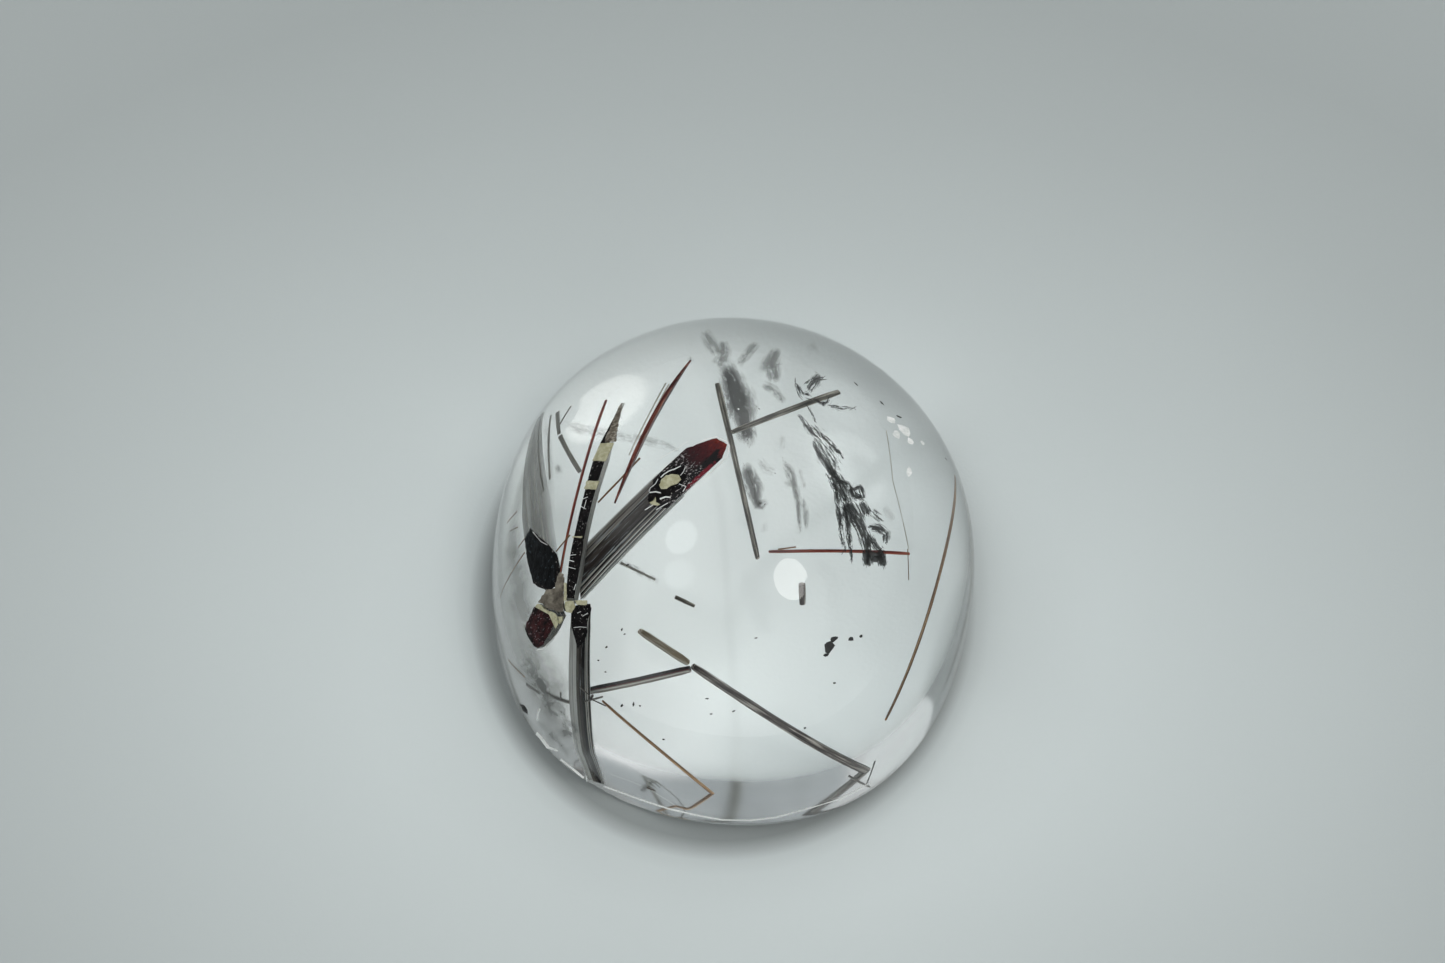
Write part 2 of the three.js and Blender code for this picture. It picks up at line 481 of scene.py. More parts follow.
def broad_cut_finish(name):
    """The polished end of the broad blade: orange-red at its tip, then deep red, black and pitted, with
    painted glints along its pitted middle.
    """
    finish = Finish(name, Specular_IOR_Level=0.2)
    off = finish.swing(finish.noise((0.5, 6, 6), 4.0, 0.6), 1.6)
    way = finish.share(finish.maths(finish.way("X"), off), 2.6, 8.1)
    across = finish.maths(finish.way("Y"), finish.maths(off, 0.12, "MULTIPLY"))
    body = finish.ramp(way, [
        (0.0, (140, 58, 32)), (0.03, (108, 35, 26)), (0.1, (84, 24, 25)), (0.16, (70, 19, 24)),
        (0.27, (52, 14, 20)), (0.38, (22, 11, 14)), (0.5, (8, 7, 9)), (0.91, (26, 20, 20))])
    dark = finish.maths(finish.ramp(across, [(0.24, 0.0), (0.38, 1.0)]),
                        finish.ramp(way, [(0.11, 0.0), (0.145, 1.0)]), "MULTIPLY")
    edge = finish.maths(finish.ramp(across, [(0.66, 0.0), (0.72, 1.0)]),
                        finish.ramp(way, [(0.18, 0.0), (0.23, 0.9), (0.45, 0.9), (0.54, 0.0)]), "MULTIPLY")
    grain = finish.noise((2.2, 10, 10), 4.0, 0.65)
    # painted glints: fine pale streaks standing for light caught in the pits
    painted_glints = finish.maths(finish.ramp(grain, [(0.56, 0.0), (0.61, 1.0)]),
                          finish.ramp(way, [(0.29, 0.0), (0.36, 1.0), (0.65, 1.0), (0.77, 0.6)]), "MULTIPLY")
    for share, colour in ((dark, (13, 12, 15)), (edge, (116, 28, 42)), (painted_glints, (178, 172, 172))):
        body = finish.mix(share, body, colour)
    finish.join(body, "Base Color")
    finish.join(finish.ramp(grain, [(0.35, 0.5), (0.65, 0.25)]), "Roughness")
    finish.relief(grain, 0.05)
    return finish.material


def veil_finish(name, thin, thick, stretch, fineness, gain, floor, patches, edge):
    """Crystal dust: opaque where the ribbon is dense, broken up along its run."""
    finish = Finish(name, Roughness=0.6)
    flow = finish.add("Attribute", attribute_name="flow").outputs["Vector"]
    density = finish.add("SeparateXYZ", {0: flow}).outputs["Z"]
    place = finish.add("Mapping", {"Vector": flow, "Scale": (stretch, fineness, 0.0)}).outputs["Vector"]
    patchy = finish.swing(finish.noise(place, 5.0, 0.65, distort=0.4), patches)
    amount = finish.maths(finish.maths(density, patchy), floor, "SUBTRACT")
    outer = finish.maths(density, edge, "MULTIPLY", True)
    alpha = finish.maths(finish.maths(amount, gain, "MULTIPLY", True), outer, "MULTIPLY")
    alpha = finish.maths(alpha, VEIL_OPACITY, "MULTIPLY")
    finish.join(alpha, "Alpha")
    finish.join(finish.ramp(alpha, [(0.2, thin), (0.9, thick)]), "Base Color")
    return finish.material


BLACK = (12, 9, 11)
BROWN_BLACK = (50, 40, 37)
GREY = (138, 132, 124)
PALE = (196, 196, 188)
STRIP_PALE = (206, 207, 202)
WHITE = (236, 238, 234)
VEIL_OPACITY = 0.9
# Dark, middle and light, then roughness, lines in a millimetre across and along the crystal, and how metallic
STRIATED = {
    "red_face": [(34, 12, 12), (86, 34, 28), (158, 98, 80)],
    "grey_rod": [(52, 50, 45), (100, 97, 88), (184, 180, 168), 0.35, 9.0, 0.4],
    "deep_rod": [(112, 112, 105), (140, 140, 132), (176, 176, 168), 0.5, 6.0, 0.4],
    "dark_rod": [(34, 28, 28), (84, 78, 74), (190, 186, 178), 0.3, 9.0, 0.4],
    "beige_rod": [(136, 122, 100), (186, 178, 160), (226, 220, 206), 0.4, 8.0, 0.4],
    "pale_rod": [(160, 152, 132), (202, 196, 180), (232, 228, 216), 0.4, 8.0, 0.4],
    "red_rod": [(66, 14, 10), (120, 34, 24), (186, 104, 80)],
    "brown_rod": [(92, 62, 38), (132, 94, 58), (196, 160, 116)],
    "silver_flake": [(222, 226, 224), (238, 240, 238), (250, 250, 250), 0.25, 7.0, 0.18, 0.9],
    # a plain white for the rods that are painted highlights
    "painted_glint": [(222, 225, 223), (238, 240, 238), (250, 251, 250), 0.5],
    "tip_grey": [(78, 70, 62), (112, 104, 92), (168, 162, 150), 0.4, 7.0, 4.0],
    "join_grey": [(70, 64, 57), (104, 97, 87), (146, 139, 126), 0.5, 1.6, 0.8],
}
# Lowest and highest place, how rare the painted glints are, and where each band begins
BANDED = {
    "broad_face": dict(low=-1.0, high=1.15, rare=0.575, bands=[
        (-1.0, PALE), (-0.92, GREY), (-0.78, BROWN_BLACK), (-0.72, GREY), (-0.58, PALE), (-0.52, BROWN_BLACK),
        (-0.38, (76, 69, 65)), (-0.12, BROWN_BLACK), (0.06, (68, 62, 59)), (0.2, BLACK), (0.32, PALE),
        (0.38, BLACK), (0.5, GREY), (0.57, WHITE), (0.63, BLACK), (0.7, GREY), (0.76, WHITE), (0.82, BLACK),
        (0.89, GREY), (0.95, BLACK), (1.0, WHITE)]),
    "lower_face": dict(low=-0.65, high=0.65, bands=[
        (-0.65, PALE), (-0.56, WHITE), (-0.47, PALE), (-0.43, WHITE), (-0.22, (104, 98, 90)),
        (-0.05, (70, 64, 60)), (0.08, BROWN_BLACK), (0.16, BLACK), (0.33, PALE), (0.39, BLACK), (0.43, WHITE),
        (0.48, GREY), (0.53, BLACK)]),
    "banded_face": dict(low=-2.4, high=0.0, streak=0.1, glint=0.3, axis="Z", bands=[
        (-2.4, PALE), (-1.5, STRIP_PALE), (-1.36, GREY), (-1.3, STRIP_PALE), (-1.1, WHITE), (-0.95, PALE),
        (-0.8, WHITE), (-0.6, GREY), (-0.52, WHITE)]),
    "split_rod": dict(low=-0.22, high=0.22, streak=0.06, bands=[
        (-0.22, GREY), (-0.15, PALE), (-0.1, GREY), (-0.07, (84, 28, 30)), (-0.02, (38, 18, 20)),
        (0.04, BLACK)]),
}
# Dark, middle and light, then how opaque, all over or at shares of the way between two places across
FADED = {
    "left_face": [(92, 90, 83), (134, 130, 121), (168, 164, 153), [
        (0.0, 0.04), (0.25, 0.5), (0.62, 0.6), (0.74, 0.4), (0.8, 0.6), (1.0, 0.45)], -1.1, 1.4],
    "grey_side": [(56, 50, 45), (92, 85, 76), (140, 133, 120), 0.75],
}
# Dark, middle and specks, then roughness, stretch, and how rare the specks are; on the dark looks the specks
# are painted glints
CUT = {
    "black_cut": [(5, 4, 5), (20, 14, 16), (190, 186, 182), 0.35, (1, 1, 1), 0.64],
    "fleck_black": [(12, 12, 12), (34, 34, 32), (150, 150, 145), 0.3],
    "cream": [(172, 168, 136), (204, 201, 172), (226, 224, 204), 0.6],
    "pitted": [(5, 4, 5), (22, 18, 20), (200, 198, 192), 0.4, (1, 1, 1), 0.66],
    "red_cut": [(12, 8, 10), (62, 20, 23), (120, 106, 110), 0.4, (0.9, 0.9, 0.4), 0.62],
    "blue_black": [(3, 3, 4), (14, 17, 21), (70, 82, 90), 0.4, (1.2, 0.5, 0.5), 0.64],
}
# Thin and thick dust, patches in a millimetre along and across, then gain, floor, patchiness and edge
VEILED = {
    "soft_veil": [(94, 93, 86), (34, 33, 30), 1.4, 4.0, 1.25, -0.1, 3.0, 1.15],
    "crisp_veil": [(104, 108, 103), (16, 17, 16), 1.5, 10.0, 1.5, 0.26, 4.6, 4.0],
    # haze that is also painted shade along the left rim
    "haze_and_shade_veil": [(158, 157, 150), (112, 110, 104), 0.45, 0.9, 0.8, 0.0, 1.6, 1.2],
    "mottled_veil": [(150, 153, 148), (92, 94, 90), 1.3, 2.2, 0.9, 0.1, 3.6, 1.3],
}
LOOKS = {
    "polished_quartz": quartz_finish("polished_quartz", 0.0, 0.012),
    "ground_quartz": quartz_finish("ground_quartz", 0.07, 0.1),
    "broad_cut": broad_cut_finish("broad_cut"),
    **{name: striated_finish(name, *values) for name, values in STRIATED.items()},
    **{name: banded_finish(name, **values) for name, values in BANDED.items()},
    **{name: faded_finish(name, *values) for name, values in FADED.items()},
    **{name: cut_finish(name, *values) for name, values in CUT.items()},
    **{name: veil_finish(name, *values) for name, values in VEILED.items()},
}


# The camera

camera = bpy.data.objects.new("camera", bpy.data.cameras.new("camera"))
camera.data.lens = LENS
camera.data.sensor_width = SENSOR
camera.data.clip_start = 0.01
camera.location = CAMERA_PLACE * MM
camera.rotation_euler = (CAMERA_TILT, 0, 0)
bpy.context.scene.collection.objects.link(camera)
bpy.context.scene.camera = camera
bpy.context.scene.view_settings.view_transform = "Standard"
CYCLES = {
    "use_denoising": True, "max_bounces": 16, "transmission_bounces": 12, "glossy_bounces": 8,
    "transparent_max_bounces": 24, "caustics_reflective": True, "caustics_refractive": True,
    "blur_glossy": 0.0, "sample_clamp_indirect": 6.0,
}
for key, value in CYCLES.items():
    setattr(bpy.context.scene.cycles, key, value)


# The paper

PAPER_LEVEL = -0.03  # a hair of air is left under the base
PAPER_SIZE = 700
# A painted pool of light on the paper: its middle, its half sizes, and how much of the paper's colour is kept
# at shares of the way out, so it is darker towards the corners
PAINTED_LIGHT_PLACE = (0, -4)
PAINTED_LIGHT_SIZE = (62, 46)
PAINTED_LIGHT_TONES = [(0.0, 1.0), (0.35, 0.96), (0.55, 0.84), (0.8, 0.7), (1.0, 0.62)]
# A painted shade round the stone's foot, standing for its contact shadow: its middle, its half sizes, and how
# much is kept at shares of the way out, darkest in a ring at the base's edge, under it and just outside
PAINTED_SHADE_PLACE = (-0.55, -0.7)
PAINTED_SHADE_SIZE = (19.6, 21.2)
PAINTED_SHADE_TONES = [
    (0.0, 0.94), (0.42, 0.94), (0.54, 0.76), (0.64, 0.52), (0.7, 0.46), (0.732, 0.7), (0.757, 0.93),
    (0.8, 1.0), (0.95, 1.0),
]


def paper_finish():
    """Paper with a painted pool of light, darker away from the stone, and with painted shade where the stone
    stands on it.
    """
    finish = Finish("pale_paper")
    cloud = finish.noise((0.02, 0.02, 0.02), 2.0, 0.5)
    tooth = finish.noise((6, 6, 6), 4.0, 0.5)
    body = finish.ramp(cloud, [(0.3, (220, 227, 227)), (0.7, (224, 231, 231))])
    for middle, size, tones in ((PAINTED_LIGHT_PLACE, PAINTED_LIGHT_SIZE, PAINTED_LIGHT_TONES), (PAINTED_SHADE_PLACE, PAINTED_SHADE_SIZE, PAINTED_SHADE_TONES)):
        place = finish.add("Mapping", {
            "Vector": finish.lie(), "Scale": (1 / size[0], 1 / size[1], 1),
            "Location": (-middle[0] / size[0], -middle[1] / size[1], 0),
        }).outputs["Vector"]
        away = finish.add("VectorMath", {0: place}, operation="LENGTH").outputs["Value"]
        # the paper's colour times the painted pool of light, then times the painted shade
        body = finish.mix(1.0, body, finish.ramp(away, tones), "MULTIPLY")
    finish.join(body, "Base Color")
    finish.join(finish.ramp(tooth, [(0.3, 0.75), (0.7, 0.85)]), "Roughness")
    finish.relief(tooth, 0.01)
    return finish.material


half = PAPER_SIZE / 2
corners = [(x * half, y * half, PAPER_LEVEL) for x, y in ((-1, -1), (1, -1), (1, 1), (-1, 1))]
paper = new_object("paper", corners, [(0, 1, 2, 3)])
paper.data.materials.append(paper_finish())


# The light

LAMP = (118, 63)  # azimuth and elevation of the brightest patch
ROOM_WALL = (1.08, 1.11, 1.11, 1)
# Azimuth from +Y towards +X, elevation, radius lit in full, radius where it ends, colour
ROOM = [
    (0, 30, 60, 90, (0.49, 0.51, 0.51)),
    (70, 12, 36, 60, (0.24, 0.26, 0.26)),
    (150, 35, 25, 45, (0.66, 0.68, 0.68)),
    (-85, 30, 22, 42, (0.74, 0.77, 0.77)),
    (-150, 48, 14, 26, (0.06, 0.06, 0.06)),
    (-98, 8, 28, 40, (0.12, 0.13, 0.13)),
    (-60, 25, 13, 17, (0.17, 0.19, 0.19)),
    (2, 27, 20, 24, (0.30, 0.33, 0.34)),
    (-37, 25, 9, 10.5, (0.56, 0.6, 0.6)),
    (25, 50, 12, 24, (1.13, 1.16, 1.16)),
    (0, 88, 20, 36, (1.13, 1.16, 1.16)),
    (-80, 70.5, 6, 8, (2.9, 3.0, 3.0)),
    (-122, 66, 4, 8, (2.0, 2.1, 2.1)),
    (118, 63, 8.6, 9, (5.0, 4.95, 4.8)),
    (112, 50, 6.5, 7, (0.8, 0.82, 0.82)),
]


def direction(azimuth, elevation):
    turn, rise = math.radians(azimuth), math.radians(elevation)
    return Vector((math.sin(turn) * math.cos(rise), math.cos(turn) * math.cos(rise), math.sin(rise)))


def room_light():
    """The room as the stone sees it: soft patches, each laid over those before it."""
    world = bpy.data.worlds.new("room")
    world.use_nodes = True
    bpy.context.scene.world = world
    tree = world.node_tree
    seen = add_node(tree, "TexCoord").outputs["Generated"]
    total = ROOM_WALL
    for azimuth, elevation, inner, outer, colour in ROOM:
        middle = direction(azimuth, elevation)
        facing = add_node(tree, "VectorMath", {0: seen, 1: middle}, operation="DOT_PRODUCT")
        fade = add_node(tree, "MapRange", {
            "Value": facing.outputs["Value"], "From Min": math.cos(math.radians(outer)),
            "From Max": math.cos(math.radians(inner)),
        }, interpolation_type="SMOOTHSTEP")
        inputs = {"Factor": fade.outputs["Result"], 6: total, 7: (*colour, 1)}
        total = add_node(tree, "Mix", inputs, data_type="RGBA").outputs[2]
    tree.links.new(total, tree.nodes["Background"].inputs["Color"])


room_light()


# The clear stone

stone = new_object("quartz", *stone_form(SIDES))
for look in ("polished_quartz", "ground_quartz"):
    stone.data.materials.append(LOOKS[look])
settle(stone, "clear_quartz", "quartz_upper", "quartz_lower")
smooth(stone)
stone.data.polygons[0].material_index = 1
stone.data.polygons[0].use_smooth = False

CUTTER_SIDES = 160
TRIM = 0.015  # how far a cut end stands over the surface
cutter = new_object("cutter", *stone_form(CUTTER_SIDES, TRIM))


# Blades

BLADES = {
    "broad_blade": dict(
        look="broad_face", cut_look="broad_cut", slot="dark_blade", slant=0.06,
        start=(-0.2, 2.15, 19.75), end=(-8.8, -4.63, 10.73), down=(0.12, 0.3, -0.95),
        section=[(0.84, -0.15), (0.2, -0.1), (-0.95, -0.9), (-0.95, -2.3), (-0.2, -3.15), (0.5, -3.1),
                 (0.9, -2.5), (0.9, -1.0)],
        taper=[(0, 1, 1), (14, 1, 1)],
    ),
    "lower_blade": dict(
        look="lower_face", cut_look="black_cut", slot="dark_blade", reach=0.5,
        start=(-8.65, -6.05, 13.9), end=(-7.85, -13.1, 1.8), down=(0.21, 0.45, -0.87),
        section=[(0.6, -0.65), (-0.15, 0.1), (-0.55, -0.55), (-0.62, -1.0), (-0.3, -1.1), (0.55, -0.9)],
        taper=[(0, 1, 1), (8, 1.05, 1), (14, 0.85, 0.9)],
    ),
    "left_blade": dict(
        look="left_face", cut_look="black_cut", slot="dark_blade", reach=1.2,
        start=(-10.4, -4.7, 11.5), end=(-10.6, 7.6, 6.9), down=(0.36, 0.25, -0.9),
        section=[(1.31, 0.07), (0.76, 0.52), (-0.13, 0.66), (-0.6, 0.63), (-1.0, 0.53), (-1.05, 0.18),
                 (-0.7, -0.29), (0.1, -0.66), (1.19, -0.76), (1.25, -0.5), (1.37, -0.33)],
        taper=[(0, 1, 1), (6, 0.95, 0.95), (10, 0.62, 0.7), (13.1, 0.3, 0.4)],
    ),
    "banded_blade": dict(
        look="banded_face", cut_look="black_cut", slot="black_blade",
        start=(-6.7, 5.6, 14.6), end=(-9.5, -5.5, 12.9), down=(0.4, 0.04, -0.91),
        section=[(1, 0), (-1, 0), (-1, -2.6), (1, -2.6)],
        taper=[(0, 0.03, 0.72), (1.3, 0.09, 0.62), (2.6, 0.3, 0.55), (3.4, 0.41, 0.52), (5.8, 0.35, 0.5),
               (8, 0.36, 0.54), (9.6, 0.43, 0.65), (11.6, 0.31, 0.84)],
    ),
    "red_needle": dict(
        look="red_face", cut_look=None, slot="red_crystal", pitch=0.1,
        start=(-2.55, 8.5, 14.35), end=(-6.7, -0.6, 15.2), down=(0.19, -0.17, -0.97),
        section=[(1, 0), (-1, 0), (-1, -1.15), (1, -1.15)],
        taper=[(0, 0.04, 1), (2.5, 0.12, 0.72), (5, 0.13, 0.58), (7.5, 0.12, 0.74), (10, 0.04, 1)],
    ),
}
STATION = 0.9  # between the rings of a blade
RIDGE_RELIEF = 0.02
RIDGE_PITCH = 0.16
RIDGE_LOOSE = 0.2  # share of the pitch that a ridge may be off by
RAGGED_END = 0.1


def ridged(section, dice, pitch):
    """A section with fine ridges on its sides."""
    points = []
    for corner, following in zip(section, section[1:] + section[:1]):
        corner = Vector(corner)
        run = Vector(following) - corner
        out = Vector((run.y, -run.x)).normalized()
        count = max(1, round(run.length / pitch))
        for i in range(count):
            rise = dice.uniform(-RIDGE_RELIEF, RIDGE_RELIEF) if i else 0
            off = dice.uniform(-RIDGE_LOOSE, RIDGE_LOOSE) * bool(i)
            points.append(corner + run * ((i + off) / count) + out * rise)
    return points


def blade(name, look, cut_look, slot, start, end, down, section, taper,
          slant=0.0, reach=0.0, pitch=RIDGE_PITCH):
    """A sweep of its section, which begins reach before its start, to be cut off by the surface."""
    dice = random.Random(name)
    length = (Vector(end) - Vector(start)).length
    section = ridged(section, dice, pitch)
    count = max(2, round((length + reach) / STATION))
    rings = []
    for i in range(count + 1):
        way = -reach + (length + reach) * i / count
        across, rise = between(taper, way)
        ragged = dice.uniform(0, RAGGED_END) if i == count else 0
        rings.append([(way * (1 - slant * (1 - p.x)) - ragged * dice.random(), p.x * across, p.y * rise)
                      for p in section])
    made = new_object(name, *loft(rings), placed(start, own_frame(start, end, down)))
    made.data.materials.append(LOOKS[look])
    cut_to_stone(made, cut_look)
    settle(made, slot, name)


for name, spec in BLADES.items():
    blade(name, **spec)

CORNER = dict(
    start=(-9.75, -5.45, 11.9), end=(-12.1, -7.0, 8.1), down=(0.6, 0.35, -0.7),
    levels=(0.5, -0.6, -1.2, -1.9),
    outline=[(1.3, 0.14), (1.36, 0.58), (2.12, 0.78), (2.99, 0.89), (3.75, 0.82), (4.06, 0.45), (4.17, -0.26),
             (4.1, -0.76), (3.18, -0.92), (2.49, -1.1), (1.84, -0.41)],
)


def corner_blade():
    """A short blade with the outline of its cut end all the way down."""
    rings = [[(way, across, level) for way, across in reversed(CORNER["outline"])]
             for level in CORNER["levels"]]
    directions = own_frame(CORNER["start"], CORNER["end"], CORNER["down"])
    made = new_object("corner_blade", *loft(rings), placed(CORNER["start"], directions))
    made.data.materials.append(LOOKS["grey_side"])
    cut_to_stone(made, "black_cut")
    settle(made, "black_blade", "corner_blade")


corner_blade()


# Rods and needles

NEEDLES = {
    "thin_red_needle": ((-6.4, 6.5, 9.6), (-9.75, -4.6, 11.75), 0.18, "red_rod", "red_crystal"),
    "upper_rod": ((-0.7, 7.2, 7.0), (1.3, -3.9, 13.6), 0.31, "grey_rod", "grey_crystal"),
    "side_rod": ((0.0, 3.7, 12.0), (4.5, 7.2, 5.0), 0.3, "grey_rod", "grey_crystal"),
    "red_line_needle": ((1.9, -3.2, 12.6), (8.3, -1.0, 6.8), 0.18, "red_rod", "red_crystal"),
    "right_needle": ((10.1, 4.7, 3.0), (8.52, -11.0, 7.45), 0.2, "brown_rod", "red_crystal"),
    "long_rod_upper": ((-5.0, -7.55, 12.2), (-2.3, -7.85, 9.16), 0.4, "beige_rod", "grey_crystal"),
    "long_rod": ((-1.98, -7.89, 8.8), (6.1, -8.78, -0.3), 0.4, "dark_rod", "grey_crystal"),
    "cross_rod": ((-7.24, -8.185, 6.31), (-2.2, -8.45, 9.6), 0.41, "split_rod", "black_blade"),
    "front_needle": ((-6.9, -9.75, 7.95), (-0.6, -9.65, -0.25), 0.18, "brown_rod", "red_crystal"),
}
NEEDLE_FORM = dict(sides=10, uneven=0.14, wobble=0.03, pitch=0.6)
WORN = 0.18  # how much narrower a needle's ends are
WORN_LENGTH = 0.15


def rod_rings(length, width, dice, share_at, sides, uneven, wobble, pitch):
    """Rings of a slightly uneven rod along its own first axis, with share_at of its width at each way."""
    shape = [1 + dice.uniform(-uneven, 0.1) for _ in range(sides)]
    turns = [2 * math.pi * k / sides for k in range(sides)]
    count = max(2, round(length / pitch))
    rings = []
    for i in range(count + 1):
        way = length * i / count
        size = width / 2 * share_at(way) * (1 + dice.uniform(-wobble, wobble))
        rings.append([(way, size * part * math.cos(turn), size * part * math.sin(turn))
                      for part, turn in zip(shape, turns)])
    return rings


def needle(name, start, end, width, look, slot):
    length = (Vector(end) - Vector(start)).length

    def share_at(way):
        return 1 - WORN + WORN * min(way / WORN_LENGTH, (length - way) / WORN_LENGTH, 1)

    rings = rod_rings(length, width, random.Random(name), share_at, **NEEDLE_FORM)
    made = new_object(name, *loft(rings), placed(start, any_frame(start, end)))
    made.data.materials.append(LOOKS[look])
    cut_to_stone(made)
    settle(made, slot, name)


for name, spec in NEEDLES.items():
    needle(name, *spec)


# Small forms, many to a piece

ROD_FORM = dict(uneven=0.2, wobble=0.08, pitch=0.5)
FLAKE_CORNERS = 7
FLAKE_UNEVEN = 0.3


class Collected:
    """Many small closed forms that become one piece."""

    def __init__(self, name):
        self.name = name
        self.dice = random.Random(name)
        self.points = []
        self.faces = []
        self.own = []

    def take(self, rings, turned=Vector):
        """Lofts the rings, in the world's directions or turned from the form's own ones."""
        points, faces = loft(rings)
        start = len(self.points)
        self.own += points
        self.points += [turned(point) for point in points]
        self.faces += [tuple(start + i for i in face) for face in faces]

    def finished(self, look, slot):
        add_part(self.name, self.points, self.faces, look, slot, self.own)

    def rod(self, start, end, width, sides=6, taper=0.0):
        along, across, up = any_frame(start, end)
        length = (end - start).length
        rings = rod_rings(length, width, self.dice, lambda way: 1 - taper * way / length, sides, **ROD_FORM)
        self.take(rings, lambda point: start + point.x * along + point.y * across + point.z * up)

    def flake(self, middle, facing, along, size, slim, thickness=0.02):
        """A thin uneven plate."""
        along = (along - along.dot(facing) * facing).normalized()
        across = facing.cross(along)
        flat = []
        for k in range(FLAKE_CORNERS):
            turn = 2 * math.pi * (k + self.dice.uniform(-FLAKE_UNEVEN, FLAKE_UNEVEN)) / FLAKE_CORNERS
            reach = size * self.dice.uniform(0.6, 1.0)
            flat.append(reach * math.cos(turn) * along + reach * slim * math.sin(turn) * across)
        offset = facing * thickness / 2
        self.take([[middle - offset + p for p in flat], [middle + offset + p for p in flat]])


# Streams of crystal dust

# Deep veils, out of the camera's focus: strength and, along each, pixel, half width in pixels and depth
SOFT_VEILS = [
    (0.6, [(703, 330, 3.5, 6.4), (708, 338, 5, 6.6), (713, 346, 6, 6.9), (718, 356, 4, 7.2)]),
    (0.7, [(723, 340, 3, 7), (724, 352, 6, 7.3), (722, 363, 4, 7.5)]),
    (0.6, [(722, 357, 5, 7.4), (716, 366, 4, 7.4)]),
    (0.65, [(758, 342, 3, 7.8), (748, 353, 4, 8), (738, 365, 3, 8)]),
    (0.75, [(777, 347, 3, 8), (771, 364, 8, 8.2), (776, 383, 4, 8.4)]),
    (0.3, [(758, 365, 4, 8.2), (766, 369, 4, 8.2)]),
    (0.6, [(762, 384, 3, 8.4), (773, 389, 4, 8.4), (785, 403, 2.5, 8.4)]),
    (0.95, [(724, 360, 5, 8), (731, 378, 9, 8.2), (738, 399, 13, 8.6), (743, 414, 11, 8.9),
        (745, 425, 7, 9), (748, 437, 8, 9), (750, 447, 4, 9)]),
    (0.25, [(754, 405, 3, 9), (759, 409, 3, 9)]),
    (0.85, [(745, 463, 4, 9), (750, 478, 7, 9.1), (754, 488, 8, 9.2), (756, 500, 4, 9.3),
        (759, 507, 4, 9.3), (767, 500, 3, 9.3)]),
    (0.3, [(759, 459, 3, 9), (766, 469, 4, 9), (775, 473, 3, 9)]),
    (0.7, [(782, 458, 1.5, 9), (789, 470, 4, 9), (794, 484, 3.5, 9), (797.6, 498, 3, 9.2),
        (798.5, 512, 2, 9.3), (800, 533, 2, 9.4)]),
    (0.3, [(782, 435, 2.5, 9), (783, 450, 2.5, 9)]),
    (0.4, [(783, 482, 2.5, 9), (794, 485, 2.5, 9)]),
    (0.35, [(799.5, 468, 2, 9), (804.5, 489, 2, 9)]),
    (0.55, [(803.5, 497, 1.5, 9.2), (805, 514, 3.5, 9.3), (806.5, 530, 1.5, 9.3)]),
    (0.25, [(764, 521, 3, 9), (764, 533, 3, 9)]),
    (0.35, [(688, 356, 3, 6), (692, 364, 3, 6)]),
    (0.28, [(811, 342, 4, 6), (815, 354, 4, 6)]),
    (0.4, [(555, 422, 3, 5), (584, 430, 4, 7), (619, 436, 4, 8), (650, 441, 4, 8.5), (684, 451, 2, 9)]),
    (0.5, [(557, 464, 3, 2), (560, 474, 3, 2)]),
    (0.45, [(614, 558, 2.5, 5), (636, 570, 3, 5.5), (659, 582, 2.5, 6.5)]),
]
